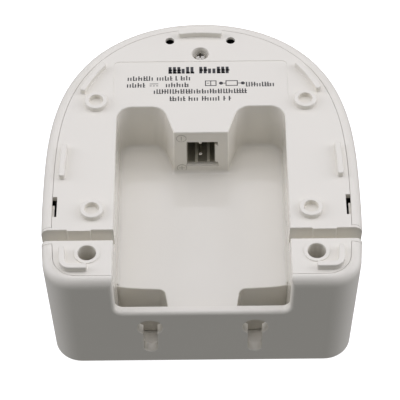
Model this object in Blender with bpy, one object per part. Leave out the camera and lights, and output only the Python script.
"""Wall-mountable charging base, lying upside down on its flat top face.

The base is a D-shaped tub (the housing) closed by a bottom cover.  The flat wall side faces -Y and
carries two keyholes, the round side faces +Y, and the underside faces +Z.  A deep pocket in the
cover takes the supply lead's plug, which enters a two-pin inlet, and two grooves let the lead out
to either side.  The handset's cradle is a well in the top face, which opens towards -Z.

Lengths are in millimetres and turned into metres where a mesh is made.  A distance from the wall
side is called a reach, and y_at() turns it into the frame's Y.
"""
import math

import bmesh
import bpy

MM = 0.001

# ---------------------------------------------------------------- driving dimensions
HALF_WIDTH = 56.95
LENGTH = 125.3
PLATE_Z = 48.8            # flat face of the bottom cover above the top face
RIB_HEIGHT = 2.4          # desk ribs standing on that face
RIM_FILLET = 3.0
SIDE_DRAFT = math.tan(math.radians(2.2))
FRONT_DRAFT = math.tan(math.radians(1.0))
TOP_WALL = 2.4            # housing wall that becomes the top face in use
SIDE_WALL = 2.6
FRONT_WALL_IN = 3.3       # reach of the wall side's inner face
GAP = 0.3                 # clearance between neighbouring pieces

# D outline: a two-exponent superellipse arch on nearly straight sides
ARCH_CENTRE = 36.1        # reach where the arch begins
ARCH_SIDE_POWER = 2.05
ARCH_END_POWER = 3.24
SIDE_NARROWING = 2.6      # the sides close in this much towards the wall side
CORNER_RADIUS = 11.0

# bottom cover
COVER_HALF_WIDTH = 53.1
COVER_END = 120.9
COVER_FRONT = 2.8
COVER_CORNER = 8.6
PLATE_THICK = 2.2
RIB_INSET = 2.95
RIB_WIDTH = 2.2

# plug pocket
POCKET_HALF = 31.1
POCKET_END = 81.3
POCKET_DEPTH = 22.0
POCKET_DRAFT = 0.5
POCKET_FILLET = 1.5
POCKET_WALL = 2.0
BLOCK_HALF = 10.2         # inlet block between the two lobes
BLOCK_FACE = 68.4
FLOOR_Z = PLATE_Z - POCKET_DEPTH

# cord grooves
GROOVE_NEAR = 18.7
GROOVE_FAR = 23.4
GROOVE_DEPTH = 8.3
GROOVE_WALL = 1.6

# wall side: lip below the pocket and keyholes
LIP_Z = 30.1
KEY_X = 18.7
KEY_HEAD_R = 4.5
KEY_HEAD_Z = 21.2
KEY_SLOT_R = 2.55
KEY_SLOT_Z = 8.6
KEY_PAD_HALF = 5.2        # the wall is thicker around a keyhole
KEY_PAD_BACK = 4.5
KEY_PAD_TOP = 26.4
PIT_WALL = 1.6
PIT_DRAFT = 1.2           # the screw-head chamber narrows by this much towards the top face

# screws
CORNER_SCREW = (40.05, 13.0)
CENTRE_SCREW = (0.0, 108.3)
SCREW_SEAT = 14.0         # corner screw seat below the plate
CENTRE_SEAT = 3.3

# inlet
INLET_X = (-5.3, 5.1)
INLET_Z = (PLATE_Z - 18.2, PLATE_Z - 5.6)
INLET_DEPTH = 10.0
INLET_NOTCH = (1.1, 1.6)  # keying notch at two corners: width and height
SOCKET_WALL = 1.6
COLLAR_WALL = 0.6         # the socket's collar reaches into the cover's opening
COLLAR_FRONT = 69.5
KEY_RIBS = ((-2.35, -1.25), (2.2, 3.3))
KEY_RIB_HEIGHT = 0.9
PIN_X = -0.25
PIN_R = 0.85
PIN_Z = (PLATE_Z - 15.1, PLATE_Z - 8.5)
PIN_TIP = 70.4

# cradle and contacts
CRADLE_HALF = 21.0
CRADLE_REACH = (34.0, 66.0)
CRADLE_DEPTH = 13.0
CRADLE_WALL = 1.6
CONTACT_X = 8.0
CONTACT_REACH = 50.0
CONTACT_R = 1.6
CONTACT_PROUD = 2.0
CUP_CORNER = 7.6
FLANGE_EDGE = 2.2         # the cup's flange stands out this far
FLANGE_Z = 16.3           # underside of the contact's flange when it is out
BOARD_Z = (20.9, 22.5)
BOARD_HALF = 26.0
BOARD_REACH = (38.0, 102.0)
BOARD_SCREWS = [(x, reach) for x in (-20.5, 20.5) for reach in (74.0, 96.0)]
LED_REACH = 92.0

# small features of the bottom cover
VENT_SPOT = (11.6, 115.0)
VENT_R = 1.75
FOOT_X = 38.85
FOOT_REACHES = (31.6, 83.2)
FOOT_R = 4.15
FOOT_HEIGHT = 2.0
FOOT_BORE_R = 2.6
FOOT_BORE_DEPTH = 0.1
HOOK_WINDOW = (51.4, 60.0, 29.3, 38.4)
SNAP_HOOK = (52.35, 54.5, 29.7, 35.1)
HOOK_TOP = PLATE_Z - 1.0
LABEL_HALF = 32.7
LABEL_REACH = (83.6, 104.2)
LABEL_DEPTH = 0.3


def y_at(reach):
    return reach - LENGTH / 2


# ---------------------------------------------------------------- helpers
def clear_scene():
    for obj in list(bpy.data.objects):
        bpy.data.objects.remove(obj, do_unlink=True)


def material(name, colour, roughness, metallic=0.0):
    mat = bpy.data.materials.get(name) or bpy.data.materials.new(name)
    mat.use_nodes = True
    shader = mat.node_tree.nodes["Principled BSDF"]
    shader.inputs["Base Color"].default_value = (*colour, 1.0)
    shader.inputs["Roughness"].default_value = roughness
    shader.inputs["Metallic"].default_value = metallic
    mat.diffuse_color = (*colour, 1.0)
    return mat


def new_object(name, vertices, faces, location=(0.0, 0.0, 0.0)):
    """Make a closed object; vertices are millimetres about location, also in millimetres."""
    mesh = bpy.data.meshes.new(name)
    bm = bmesh.new()
    made = [bm.verts.new([c * MM for c in v]) for v in vertices]
    for face in faces:
        bm.faces.new([made[i] for i in face])
    bmesh.ops.recalc_face_normals(bm, faces=bm.faces)
    bm.to_mesh(mesh)
    bm.free()
    obj = bpy.data.objects.new(name, mesh)
    obj.location = [c * MM for c in location]
    bpy.context.collection.objects.link(obj)
    return obj


def loft(name, rings, location=(0.0, 0.0, 0.0)):
    """Join rings of equal length, each a list of (x, y, z), and cap both ends."""
    count = len(rings[0])
    vertices = [point for ring in rings for point in ring]
    faces = [list(range(count)), [len(vertices) - count + i for i in range(count)]]
    for level in range(len(rings) - 1):
        low, high = level * count, (level + 1) * count
        for i in range(count):
            j = (i + 1) % count
            faces.append([low + i, low + j, high + j, high + i])
    return new_object(name, vertices, faces, location)


def prism(name, outline, low, high):
    """Extrude an outline of (x, reach) from one height to another."""
    rings = [[(x, y_at(reach), z) for x, reach in outline] for z in (low, high)]
    return loft(name, rings)


def box(name, xs, reaches, zs):
    (x0, x1), (r0, r1) = xs, reaches
    return prism(name, [(x0, r0), (x1, r0), (x1, r1), (x0, r1)], *zs)


def wall_prism(name, outline, near, far):
    """Extrude an outline of (x, z) through the wall side, along Y."""
    rings = [[(x, y_at(reach), z) for x, z in outline] for reach in (near, far)]
    return loft(name, rings)


def arc(centre, radius, start, end, steps, radius_y=None):
    radius_y = radius_y or radius
    points = []
    for i in range(steps + 1):
        angle = math.radians(start + (end - start) * i / steps)
        points.append((centre[0] + radius * math.cos(angle), centre[1] + radius_y * math.sin(angle)))
    return points


def circle(centre, radius, steps=24):
    return arc(centre, radius, 0, 360, steps)[:-1]


def rounded(xs, ys, radius, steps=5):
    (x0, x1), (y0, y1) = xs, ys
    corners = [((x1 - radius, y0 + radius), -90), ((x1 - radius, y1 - radius), 0),
               ((x0 + radius, y1 - radius), 90), ((x0 + radius, y0 + radius), 180)]
    return [p for centre, start in corners for p in arc(centre, radius, start, start + 90, steps)]


def turned(name, spot, profile, steps=24):
    """Turn a profile of (radius, z) about the vertical line at spot, an (x, reach) pair."""
    rings = [[(r * math.cos(2 * math.pi * i / steps), r * math.sin(2 * math.pi * i / steps), z)
              for i in range(steps)] for r, z in profile]
    return loft(name, rings, location=(spot[0], y_at(spot[1]), 0.0))


def tube_along_y(name, x, z, radii, reaches, steps=16):
    rings = []
    for radius, reach in zip(radii, reaches):
        rings.append([(x + px, y_at(reach), z + pz) for px, pz in circle((0, 0), radius, steps)])
    return loft(name, rings)


def apply_boolean(target, operation, tools):
    for tool in tools:
        modifier = target.modifiers.new(operation.lower(), "BOOLEAN")
        modifier.operation = operation
        modifier.solver = "EXACT"
        modifier.object = tool
        bpy.context.view_layer.update()
        graph = bpy.context.evaluated_depsgraph_get()
        shape = bpy.data.meshes.new_from_object(target.evaluated_get(graph))
        target.modifiers.clear()
        target.data = shape
        bpy.data.objects.remove(tool, do_unlink=True)
    return target


def cut(target, *tools):
    return apply_boolean(target, "DIFFERENCE", tools)


def add(target, *tools):
    return apply_boolean(target, "UNION", tools)


def keep(target, tool):
    return apply_boolean(target, "INTERSECT", [tool])


def finish(obj, mat, smooth=True):
    obj.data.materials.clear()
    obj.data.materials.append(mat)
    if smooth:
        obj.data.shade_smooth()
        obj.data.set_sharp_from_angle(angle=math.radians(35))
    return obj


# ---------------------------------------------------------------- outlines
def d_outline(half, front, end, corner, arch_steps=22, side_steps=4, corner_steps=6):
    """D outline as (x, reach), from the middle of the arch round the right side and back."""
    right = []
    for i in range(arch_steps + 1):
        angle = math.pi / 2 * (1 - i / arch_steps)
        x = half * math.cos(angle) ** (2 / ARCH_SIDE_POWER) if i else 0.0
        rise = math.sin(angle) ** (2 / ARCH_END_POWER) if i < arch_steps else 0.0
        right.append((x, ARCH_CENTRE + (end - ARCH_CENTRE) * rise))
    low = front + corner
    for i in range(1, side_steps + 1):
        reach = ARCH_CENTRE + (low - ARCH_CENTRE) * i / side_steps
        right.append((half - SIDE_NARROWING * ((ARCH_CENTRE - reach) / ARCH_CENTRE) ** 2, reach))
    side = right[-1][0]
    right += arc((side - corner, low), corner, 0, -90, corner_steps)[1:]
    left = [(-x, reach) for x, reach in reversed(right)]
    return right + left[:-1]


def body_outline(z, inset=0.0, front=None):
    """The housing's outer outline at a height, drawn in by inset."""
    fillet_start = PLATE_Z - RIM_FILLET
    if z <= fillet_start:
        side = (fillet_start - z) * SIDE_DRAFT
        face = (fillet_start - z) * FRONT_DRAFT
    else:
        side = face = RIM_FILLET - math.sqrt(max(RIM_FILLET ** 2 - (z - fillet_start) ** 2, 0.0))
    side += inset
    face = face + inset if front is None else front
    corner = max(CORNER_RADIUS - side * 0.6, 3.0)
    return d_outline(HALF_WIDTH - side, face, LENGTH - side, corner)


def cover_outline(grow=0.0):
    return d_outline(COVER_HALF_WIDTH + grow, COVER_FRONT - grow, COVER_END + grow, COVER_CORNER + grow)


def fillet_heights():
    start = PLATE_Z - RIM_FILLET
    return [start + RIM_FILLET * math.sin(math.radians(angle)) for angle in (0, 30, 60, 90)]


def levels(outline_at, heights):
    return [[(x, y_at(reach), z) for x, reach in outline_at(z)] for z in heights]


def pocket_outline(inset=0.0, front=-2.0):
    """Pocket outline: two lobes either side of the inlet block; inset makes the hollow smaller."""
    side, end = POCKET_HALF - inset, POCKET_END - inset
    right = [(side, front), (side, 60.0)]
    right += arc((side - 5.4, 75.7 - inset), 5.4, 0, 90, 8, radius_y=5.6)
    right += arc((18.2, 75.6 - inset), 5.7 - inset, 90, 163, 6, radius_y=5.7)
    right += [(BLOCK_HALF + 0.5 * inset, BLOCK_FACE)]
    left = [(-x, reach) for x, reach in reversed(right)]
    return right + left


def pit_outline(side, grow=0.0):
    """Screw-head chamber behind a keyhole; side is -1 or +1."""
    inner = [(30.5 + grow, FRONT_WALL_IN + GAP), (30.5 + grow, 14.6 + grow), (23.0, 13.6 + grow)]
    corner = arc((15.6, 10.9), 2.4 + grow, 90, 165, 5)
    inner += corner + [(11.6 - grow, FRONT_WALL_IN + GAP)]
    return [(side * x, reach) for x, reach in inner]


def pit_loft(name, side, grow, low, high):
    """The chamber's shape between two heights, with its draft, made larger by grow."""
    rings = []
    for z in (low, high):
        outline = pit_outline(side, grow - PIT_DRAFT * (1 - z / FLOOR_Z))
        rings.append([(x, y_at(reach), z) for x, reach in outline])
    return loft(name, rings)


def keyhole_outline(side):
    half = math.degrees(math.asin(KEY_SLOT_R / KEY_HEAD_R))
    head = arc((0.0, KEY_HEAD_Z), KEY_HEAD_R, -90 + half, 270 - half, 18)
    foot = arc((0.0, KEY_SLOT_Z), KEY_SLOT_R, 180, 360, 10)
    return [(side * KEY_X + x, z) for x, z in head + foot]


def cover_edge(inset, keep_point):
    """Points of the cover's edge, drawn in by inset, that keep_point accepts (right side)."""
    fine = d_outline(COVER_HALF_WIDTH - inset, COVER_FRONT + inset, COVER_END - inset,
                     COVER_CORNER - inset, arch_steps=60, side_steps=16, corner_steps=8)
    return [p for p in fine if p[0] >= 0 and keep_point(*p)]


def strip_outline(path, width):
    """Offset a path to both sides to make the outline of a rib."""
    left, right = [], []
    for i, (x, y) in enumerate(path):
        x0, y0 = path[max(i - 1, 0)]
        x1, y1 = path[min(i + 1, len(path) - 1)]
        run = math.hypot(x1 - x0, y1 - y0)
        nx, ny = -(y1 - y0) / run * width / 2, (x1 - x0) / run * width / 2
        left.append((x + nx, y + ny))
        right.append((x - nx, y - ny))
    return left + right[::-1]


# ---------------------------------------------------------------- housing
def make_housing(plastic):
    housing = loft("housing", levels(body_outline, [0.0] + fillet_heights()))

    floor, shoulder, ledge = TOP_WALL, 38.0, PLATE_Z - PLATE_THICK - GAP
    walls = [(floor, SIDE_WALL), (shoulder - 4.0, SIDE_WALL), (shoulder, 5.2), (ledge, 5.2)]
    rings = [[(x, y_at(r), z) for x, r in body_outline(min(z, 40.0), inset, FRONT_WALL_IN)]
             for z, inset in walls]
    for z in (ledge, PLATE_Z + 2.0):
        rings.append([(x, y_at(r), z) for x, r in cover_outline(GAP / 2)])
    cut(housing, loft("hollow", rings))

    notch = [(-POCKET_HALF - 0.1, 60.0)]
    notch += arc((-POCKET_HALF + 2.9, LIP_Z + 3.0), 3.0, 180, 270, 5)
    notch += arc((POCKET_HALF - 2.9, LIP_Z + 3.0), 3.0, 270, 360, 5)
    notch += [(POCKET_HALF + 0.1, 60.0)]
    cut(housing, wall_prism("notch", notch, -3.0, 9.0))

    for side in (-1, 1):
        xs = (side * KEY_X - KEY_PAD_HALF, side * KEY_X + KEY_PAD_HALF)
        add(housing, box("keyhole_pad", xs, (FRONT_WALL_IN - 0.5, KEY_PAD_BACK),
                         (TOP_WALL - 0.5, KEY_PAD_TOP)))
        cut(housing, wall_prism("keyhole", keyhole_outline(side), -3.0, KEY_PAD_BACK + 1.0))
        rim = (GROOVE_NEAR - GROOVE_WALL, GROOVE_FAR + GROOVE_WALL - 0.3)
        cut(housing, box("rim_notch", sorted((side * 46.0, side * 62.0)), rim,
                         (PLATE_Z - GROOVE_DEPTH - GROOVE_WALL - GAP, PLATE_Z + 2.0)))

    boss_top = PLATE_Z - SCREW_SEAT - PLATE_THICK - GAP
    spots = [((s * CORNER_SCREW[0], CORNER_SCREW[1]), boss_top, 4.0, 1.5) for s in (-1, 1)]
    spots.append((CENTRE_SCREW, PLATE_Z - 6.5, 4.0, 1.5))
    spots += [(spot, BOARD_Z[0] - GAP, 2.8, 1.2) for spot in BOARD_SCREWS]
    for spot, top, radius, pilot in spots:
        add(housing, turned("boss", spot, [(radius, TOP_WALL - 1.0), (radius, top)], 16))
        cut(housing, turned("pilot", spot, [(pilot, max(TOP_WALL, top - 14.0)), (pilot, top + 1.0)], 12))

    for side in (-1, 1):
        low, high = HOOK_TOP - 8.0, PLATE_Z - PLATE_THICK + 0.2
        cut(housing, box("latch_pocket", sorted((side * 51.0, side * 53.5)), (29.3, 38.4), (low, high)))
        x0, x1, near, far = SNAP_HOOK
        add(housing, box("snap_hook", sorted((side * x0, side * x1)), (near, far), (low - 0.5, HOOK_TOP)))

    edge = CRADLE_WALL + GAP
    mouth = rounded((-CRADLE_HALF - edge, CRADLE_HALF + edge),
                    (CRADLE_REACH[0] - edge, CRADLE_REACH[1] + edge), CUP_CORNER + GAP)
    cut(housing, prism("cradle_mouth", mouth, -1.0, TOP_WALL + 1.0))
    cut(housing, turned("led_window", (0.0, LED_REACH), [(2.3, -1.0), (2.3, TOP_WALL + 1.0)], 16))
    return finish(housing, plastic)


# ---------------------------------------------------------------- bottom cover
def pocket_rings(grow, floor_z, top_z):
    """Pocket rings from a filleted floor up to top_z."""
    rings = []
    for angle in (0, 45, 90):
        turn = math.radians(angle)
        inset = POCKET_DRAFT + POCKET_FILLET * (1 - math.sin(turn)) - grow
        rings.append((floor_z + POCKET_FILLET * (1 - math.cos(turn)), inset))
    rings.append((top_z, -grow))
    return [[(x, y_at(r), z) for x, r in pocket_outline(inset)] for z, inset in rings]


def make_cover(plastic):
    cover = prism("bottom_cover", cover_outline(-GAP / 2), PLATE_Z - PLATE_THICK, PLATE_Z)

    tub_front = FRONT_WALL_IN + GAP
    tub = [(x, max(r, tub_front)) for x, r in pocket_outline(-POCKET_WALL, tub_front)]
    tub = [(x, r + (POCKET_WALL if abs(x) < 16.0 and r > 60.0 and r < 69.0 else 0.0)) for x, r in tub]
    add(cover, prism("tub", tub, FLOOR_Z - POCKET_WALL, PLATE_Z - 0.5))

    tab_z = PLATE_Z - GROOVE_DEPTH - GROOVE_WALL
    tab_reach = (GROOVE_NEAR - GROOVE_WALL + GAP, GROOVE_FAR + GROOVE_WALL - 2 * GAP)
    body_z = [30.0] + fillet_heights()
    for side in (-1, 1):
        tab = box("tab", sorted((side * 31.5, side * 62.0)), tab_reach, (tab_z, PLATE_Z))
        keep(tab, loft("outer", levels(body_outline, body_z)))
        add(cover, tab)

    for side in (-1, 1):
        spot = (side * CORNER_SCREW[0], CORNER_SCREW[1])
        seat = PLATE_Z - SCREW_SEAT
        add(cover, turned("screw_tube", spot, [(5.0, seat - PLATE_THICK), (5.0, PLATE_Z - 0.5)]))
        add(cover, turned("screw_ring", spot, [(4.6, PLATE_Z - 1.0), (4.6, PLATE_Z + 0.3)], 32))
    add(cover, turned("centre_tube", CENTRE_SCREW, [(4.6, PLATE_Z - 6.2), (4.6, PLATE_Z - 0.5)]))

    for side in (-1, 1):
        add(cover, pit_loft("skirt", side, PIT_WALL, TOP_WALL + 0.7, FLOOR_Z - 0.5))
        cut(cover, pit_loft("pit", side, 0.0, 0.0, FLOOR_Z + 0.8))

    cut(cover, loft("pocket", pocket_rings(0.0, FLOOR_Z, PLATE_Z + 2.0)))
    for side in (-1, 1):
        cut(cover, box("groove", sorted((side * 29.0, side * 64.0)), (GROOVE_NEAR, GROOVE_FAR),
                       (PLATE_Z - GROOVE_DEPTH, PLATE_Z + 3.0)))
        spot = (side * CORNER_SCREW[0], CORNER_SCREW[1])
        seat = PLATE_Z - SCREW_SEAT
        cut(cover, turned("screw_well", spot, [(3.22, seat), (3.22, PLATE_Z + 2.0)]))
        cut(cover, turned("screw_hole", spot, [(1.6, seat - 5.0), (1.6, seat + 1.0)], 12))
        vent = (side * VENT_SPOT[0], VENT_SPOT[1])
        cut(cover, turned("vent", vent, [(VENT_R, 30.0), (VENT_R, PLATE_Z + 2.0)], 16))
        x0, x1, near, far = HOOK_WINDOW
        cut(cover, box("hook_window", sorted((side * x0, side * x1)), (near, far),
                       (PLATE_Z - 4.0, PLATE_Z + 2.0)))
    well = [(2.35, -CENTRE_SEAT), (2.35, -1.7), (3.25, -0.15), (3.4, 0.1), (3.4, 2.0)]
    cut(cover, turned("centre_well", CENTRE_SCREW, [(radius, PLATE_Z + z) for radius, z in well]))
    cut(cover, turned("centre_hole", CENTRE_SCREW, [(1.6, PLATE_Z - 9.0), (1.6, PLATE_Z - 2.0)], 12))
    label = rounded((-LABEL_HALF, LABEL_HALF), LABEL_REACH, 2.0, 3)
    cut(cover, prism("label_recess", label, PLATE_Z - LABEL_DEPTH, PLATE_Z + 2.0))
    through = (BLOCK_FACE - 2.0, BLOCK_FACE + POCKET_WALL + 1.0)
    cut(cover, wall_prism("inlet_opening", inlet_outline(), *through))

    add_desk_ribs(cover)
    return finish(cover, plastic)


def inlet_outline(inset=0.0):
    """The opening in the block's face as (x, z), with a keying notch at two corners."""
    (x0, x1), (z0, z1) = INLET_X, INLET_Z
    notch, tall = INLET_NOTCH
    left, right, far = x0 + inset, x1 - inset, x1 + notch - inset
    low, low_notch, high_notch, high = z0 + inset, z0 + tall - inset, z1 - tall + inset, z1 - inset
    return [(left, low), (far, low), (far, low_notch), (right, low_notch),
            (right, high_notch), (far, high_notch), (far, high), (left, high)]


def add_desk_ribs(cover):
    """Edge ribs and corner ribs of one height, on which the base stands, and four hollow bosses."""
    low, high = PLATE_Z - 1.0, PLATE_Z + RIB_HEIGHT
    corner = [(48.75, 14.5), (48.5, 8.9)] + arc((45.6, 8.9), 2.9, 0, -90, 6)[1:] + [(39.7, 6.0)]
    paths = [cover_edge(RIB_INSET, lambda x, r: 87.8 < r < 101.9 and x < 50),
             cover_edge(RIB_INSET, lambda x, r: 45.5 < r < 62.6), corner]
    bore_floor = PLATE_Z - FOOT_BORE_DEPTH
    for side in (-1, 1):
        for reach in FOOT_REACHES:
            spot = (side * FOOT_X, reach)
            foot = turned("foot", spot, [(FOOT_R, low), (FOOT_R, PLATE_Z + FOOT_HEIGHT)], 32)
            cut(foot, turned("foot_bore", spot, [(FOOT_BORE_R, bore_floor), (FOOT_BORE_R, high + 1)]))
            cut(cover, turned("foot_floor", spot, [(FOOT_BORE_R, bore_floor), (FOOT_BORE_R, high + 1)]))
            add(cover, foot)
        for path in paths:
            outline = [(side * x, r) for x, r in strip_outline(path, RIB_WIDTH)]
            add(cover, prism("rib", outline, low, high))
    middle = cover_edge(RIB_INSET, lambda x, r: x < 8.8 and r > 100)
    middle = [(-x, r) for x, r in reversed(middle)] + middle[1:]
    add(cover, prism("rib", strip_outline(middle, RIB_WIDTH), low, high))


# ---------------------------------------------------------------- inlet
def make_inlet(black, nickel):
    (x0, x1), (z0, z1) = INLET_X, INLET_Z
    near = BLOCK_FACE + POCKET_WALL + GAP
    far = near + INLET_DEPTH + 2.4
    wall = SOCKET_WALL
    xs = (x0 - wall, x1 + INLET_NOTCH[0] + wall)
    socket = box("inlet_socket", xs, (near, far), (z0 - wall, z1 + wall))
    add(socket, wall_prism("collar", inlet_outline(GAP), COLLAR_FRONT, near + 1.0))
    inset = GAP + COLLAR_WALL
    floor = z0 + inset
    cut(socket, box("socket_hollow", (x0 + inset, x1 - inset), (COLLAR_FRONT - 1.0, near + INLET_DEPTH),
                    (floor, z1 - inset)))
    for left, right in KEY_RIBS:
        add(socket, box("key_rib", (left, right), (COLLAR_FRONT + 0.2, near + INLET_DEPTH + 0.5),
                        (floor - 0.3, floor + KEY_RIB_HEIGHT)))
    for z in PIN_Z:
        cut(socket, tube_along_y("pin_hole", PIN_X, z, (PIN_R + GAP,) * 2, (near, far + 2.0)))
    finish(socket, black, smooth=False)
    for name, z in zip(("inlet_pin_lower", "inlet_pin_upper"), PIN_Z):
        pin = tube_along_y(name, PIN_X, z, (0.5, PIN_R, PIN_R, PIN_R),
                           (PIN_TIP, PIN_TIP + 0.6, far, far + 2.5))
        finish(pin, nickel)


# ---------------------------------------------------------------- cradle and contacts
def make_cradle(grey):
    """Cradle cup: its mouth is in the top face, its flange lies inside on the housing's top wall."""
    deep = CRADLE_DEPTH + CRADLE_WALL
    outer = ((-CRADLE_HALF - CRADLE_WALL, CRADLE_HALF + CRADLE_WALL),
             (CRADLE_REACH[0] - CRADLE_WALL, CRADLE_REACH[1] + CRADLE_WALL))
    cup = prism("cradle_cup", rounded(*outer, CUP_CORNER), 0.2, deep)
    flange = [(low - FLANGE_EDGE, high + FLANGE_EDGE) for low, high in outer]
    add(cup, prism("flange", rounded(*flange, CUP_CORNER + FLANGE_EDGE),
                   TOP_WALL + GAP, TOP_WALL + GAP + CRADLE_WALL))
    hollow = [[(x, y_at(r), z) for x, r in rounded((-CRADLE_HALF + d, CRADLE_HALF - d),
                                                  (CRADLE_REACH[0] + d, CRADLE_REACH[1] - d), 6.0)]
              for z, d in ((-1.0, 0.0), (CRADLE_DEPTH - 1.0, 0.6), (CRADLE_DEPTH, 1.6))]
    cut(cup, loft("well", hollow))
    for side in (-1, 1):
        spot = (side * CONTACT_X, CONTACT_REACH)
        cut(cup, turned("contact_hole", spot, [(2.1, 5.0), (2.1, deep + 2.0)], 16))
    return finish(cup, grey)


def make_contacts(white, gold, steel):
    low = CRADLE_DEPTH + CRADLE_WALL + GAP
    carrier = box("contact_carrier", (-14.0, 14.0), (CONTACT_REACH - 5.5, CONTACT_REACH + 5.5),
                  (low, BOARD_Z[0] - GAP))
    for side, word in ((-1, "left"), (1, "right")):
        spot = (side * CONTACT_X, CONTACT_REACH)
        cut(carrier, turned("guide_bore", spot, [(CONTACT_R + 0.1, low - 1.0), (CONTACT_R + 0.1, 17.0)]))
        cut(carrier, turned("spring_bore", spot, [(2.9, FLANGE_Z - GAP), (2.9, BOARD_Z[0] + 1.0)]))
        tip = CRADLE_DEPTH - CONTACT_PROUD
        pin = turned("contact_pin_" + word, spot,
                     [(0.7, tip), (1.3, tip + 0.3), (CONTACT_R, tip + 1.0), (CONTACT_R, FLANGE_Z),
                      (2.4, FLANGE_Z), (2.4, FLANGE_Z + 0.7), (0.9, FLANGE_Z + 0.7), (0.9, FLANGE_Z + 1.6)])
        finish(pin, gold)
        make_spring("contact_spring_" + word, spot, steel)
    return finish(carrier, white, smooth=False)


def make_spring(name, spot, steel):
    """A helical spring of round wire between the contact's flange and the board."""
    turns, steps, wire, radius = 3.5, 14, 0.24, 1.75
    low, high = FLANGE_Z + 0.7 + 0.3 + wire, BOARD_Z[0] - 0.3 - wire
    rings = []
    for i in range(int(turns * steps) + 1):
        angle = 2 * math.pi * i / steps
        z = low + (high - low) * i / (turns * steps)
        ring = []
        for k in range(6):
            around = math.pi * k / 3
            out = radius + wire * math.cos(around)
            ring.append((out * math.cos(angle), out * math.sin(angle), z + wire * math.sin(around)))
        rings.append(ring)
    return finish(loft(name, rings, location=(spot[0], y_at(spot[1]), 0.0)), steel)


# ---------------------------------------------------------------- board and its parts
def make_board(green):
    board = prism("main_board", rounded((-BOARD_HALF, BOARD_HALF), BOARD_REACH, 2.0, 2), *BOARD_Z)
    for spot in BOARD_SCREWS:
        cut(board, turned("screw_hole", spot, [(1.5, 10.0), (1.5, 40.0)], 12))
    return finish(board, green, smooth=False)


def on_board(height):
    return (BOARD_Z[1] + GAP, BOARD_Z[1] + GAP + height)


def make_board_parts(mats):
    low = on_board(0.0)[0]
    can = [(4.9, 0.0), (5.0, 0.5), (5.0, 1.6), (4.7, 2.0), (5.0, 2.4), (5.0, 15.6), (4.6, 16.0)]
    can = turned("capacitor", (-14.0, 90.5), [(radius, low + z) for radius, z in can], 20)
    finish(can, mats["sleeve"])
    drum = [(4.5, 0.0), (4.5, 1.0), (2.6, 1.0), (2.6, 6.0), (4.5, 6.0), (4.5, 7.0)]
    core = turned("choke_core", (0.0, 95.5), [(radius, low + z) for radius, z in drum], 20)
    finish(core, mats["ferrite"])
    winding = turned("choke_winding", (0.0, 95.5), [(4.1, low + 1.0 + GAP), (4.1, low + 6.0 - GAP)], 20)
    cut(winding, turned("bore", (0.0, 95.5), [(2.9, low), (2.9, low + 8.0)], 20))
    finish(winding, mats["copper"])
    finish(box("controller_chip", (9.0, 15.0), (86.5, 91.5), on_board(1.6)), mats["chip"], smooth=False)
    finish(box("rectifier_diode", (9.0, 13.5), (95.0, 98.0), on_board(2.2)), mats["chip"], smooth=False)
    for i in range(3):
        reach = 84.0 + 2.2 * i
        resistor = box(f"resistor_{i + 1}", (18.0, 20.4), (reach, reach + 1.3), on_board(0.6))
        finish(resistor, mats["chip"], smooth=False)

    top = BOARD_Z[0] - GAP
    led = turned("indicator_led", (0.0, LED_REACH), [(1.5, top - 4.0), (1.9, top - 2.6), (1.9, top)], 16)
    finish(led, mats["led"])
    collar = (TOP_WALL + GAP, TOP_WALL + 1.6)
    pipe = turned("light_pipe", (0.0, LED_REACH),
                  [(2.0, 0.15), (2.0, collar[0]), (3.0, collar[0]), (3.0, collar[1]), (2.0, collar[1]),
                   (2.0, top - 4.4)], 20)
    finish(pipe, mats["lens"])


def make_leads(mats):
    """Two insulated leads from the inlet pins down to the board."""
    start = BLOCK_FACE + POCKET_WALL + GAP + INLET_DEPTH + 2.4 + 2.5 + GAP
    leads = (("inlet_lead_positive", -3.2, PIN_Z[0], 86.2), ("inlet_lead_negative", 3.2, PIN_Z[1], 88.6))
    for name, x, z, drop in leads:
        path = bpy.data.curves.new(name, "CURVE")
        path.dimensions = "3D"
        path.bevel_depth = 0.7 * MM
        path.bevel_resolution = 2
        path.use_fill_caps = True
        spline = path.splines.new("POLY")
        end = drop + 0.5
        corners = [(PIN_X, start, z), (PIN_X * 0.4 + x * 0.1, start + 1.6, z), (x * 0.6, drop, z - 1.2),
                   (x, end, z - 3.5), (x, end, BOARD_Z[1] + 3.0), (x, end, BOARD_Z[1] + GAP)]
        spline.points.add(len(corners) - 1)
        for point, (px, reach, pz) in zip(spline.points, corners):
            point.co = (px * MM, y_at(reach) * MM, pz * MM, 1.0)
        lead = bpy.data.objects.new(name, path)
        path.materials.append(mats["red" if "positive" in name else "black"])
        bpy.context.collection.objects.link(lead)


# ---------------------------------------------------------------- fasteners
def make_screw(name, spot, seat, head_r, head_h, shank_r, length, steel):
    profile = [(0.4, seat - length), (shank_r, seat - length + 1.5), (shank_r, seat), (head_r, seat),
               (head_r, seat + head_h * 0.5), (head_r * 0.7, seat + head_h)]
    screw = turned(name, spot, profile, 20)
    for turn in (0, 1):
        long, thin = head_r * 0.62, 0.3
        half = (long, thin) if turn else (thin, long)
        top = seat + head_h
        cut(screw, box("recess", (spot[0] - half[0], spot[0] + half[0]),
                       (spot[1] - half[1], spot[1] + half[1]), (top - head_h * 0.6, top + 1.0)))
    return finish(screw, steel)


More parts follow.
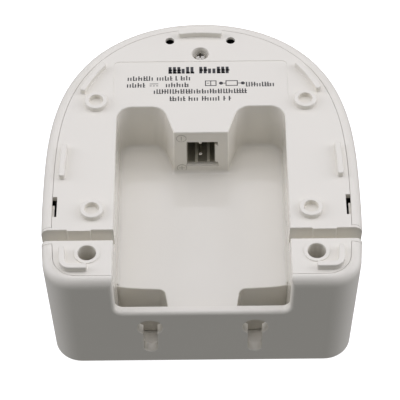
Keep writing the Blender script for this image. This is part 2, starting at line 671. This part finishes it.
def make_fasteners(steel):
    for side, word in ((-1, "left"), (1, "right")):
        spot = (side * CORNER_SCREW[0], CORNER_SCREW[1])
        make_screw("corner_screw_" + word, spot, PLATE_Z - SCREW_SEAT + GAP, 2.7, 1.8, 1.2, 14.0, steel)
    make_screw("centre_screw", CENTRE_SCREW, PLATE_Z - CENTRE_SEAT + GAP, 2.05, 1.5, 1.2, 14.0, steel)
    for i, spot in enumerate(BOARD_SCREWS, 1):
        make_screw(f"board_screw_{i}", spot, BOARD_Z[1] + GAP, 2.1, 1.3, 0.9, 10.0, steel)


def main():
    clear_scene()
    mats = {
        "shell": material("shell_white", (0.72, 0.70, 0.68), 0.38),
        "cup": material("cup_white", (0.62, 0.61, 0.59), 0.30),
        "socket": material("socket_black", (0.035, 0.033, 0.028), 0.45),
        "nickel": material("nickel", (0.78, 0.76, 0.72), 0.25, 1.0),
        "gold": material("contact_gold", (0.85, 0.65, 0.30), 0.25, 1.0),
        "steel": material("steel", (0.62, 0.62, 0.62), 0.30, 1.0),
        "nylon": material("carrier_nylon", (0.80, 0.79, 0.74), 0.50),
        "board": material("board_green", (0.05, 0.22, 0.10), 0.45),
        "sleeve": material("capacitor_sleeve", (0.03, 0.04, 0.09), 0.35),
        "ferrite": material("ferrite", (0.06, 0.06, 0.065), 0.60),
        "copper": material("copper", (0.72, 0.33, 0.16), 0.30, 1.0),
        "chip": material("chip_black", (0.03, 0.03, 0.03), 0.50),
        "led": material("led_clear", (0.60, 0.85, 0.55), 0.15),
        "lens": material("lens_clear", (0.80, 0.84, 0.80), 0.12),
        "red": material("lead_red", (0.50, 0.03, 0.03), 0.45),
        "black": material("lead_black", (0.03, 0.03, 0.03), 0.45),
    }
    make_housing(mats["shell"])
    make_cover(mats["shell"])
    make_inlet(mats["socket"], mats["nickel"])
    make_cradle(mats["cup"])
    make_contacts(mats["nylon"], mats["gold"], mats["steel"])
    make_board(mats["board"])
    make_board_parts(mats)
    make_leads(mats)
    make_fasteners(mats["steel"])


main()
